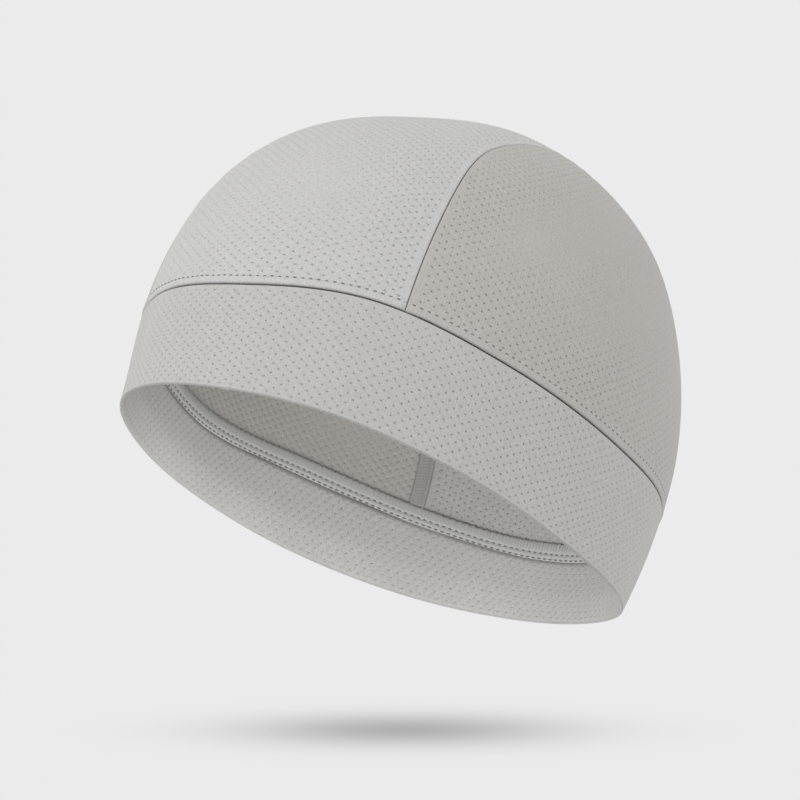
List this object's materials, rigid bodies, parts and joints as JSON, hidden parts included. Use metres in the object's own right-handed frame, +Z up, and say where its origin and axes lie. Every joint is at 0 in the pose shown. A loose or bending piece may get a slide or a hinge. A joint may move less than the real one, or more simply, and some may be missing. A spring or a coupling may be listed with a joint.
{
  "type": "helmet liner cap",
  "caption": "Close-fitting sewn stretch cap with a strip over the crown, two side panels and a doubled head band, in its worn shape.",
  "frame": {"origin": "centre of the head opening, in the plane of the rim", "axes": "+Z up, -Y towards the wearer's front, +X towards the wearer's left; the cap keeps its worn pose, tipped back 27.8 degrees about X and leaning 2.4 degrees to the wearer's left"},
  "size_m": [0.1699, 0.2007, 0.1773],
  "materials": {
    "crown_knit": "thin perforated sports knit, pale grey, matt",
    "side_knit": "thin perforated sports knit, pale warm grey, matt",
    "band_knit": "doubled perforated sports knit, pale grey, matt",
    "seam_edge": "overlocked cut edge with pale grey thread, matt"
  },
  "bodies": {
    "root": {"crown_center_panel": "crown_knit", "crown_side_panel_left": "side_knit", "crown_side_panel_right": "side_knit", "band": "band_knit", "band_seam_allowance": "seam_edge"}
  },
  "joints": []
}
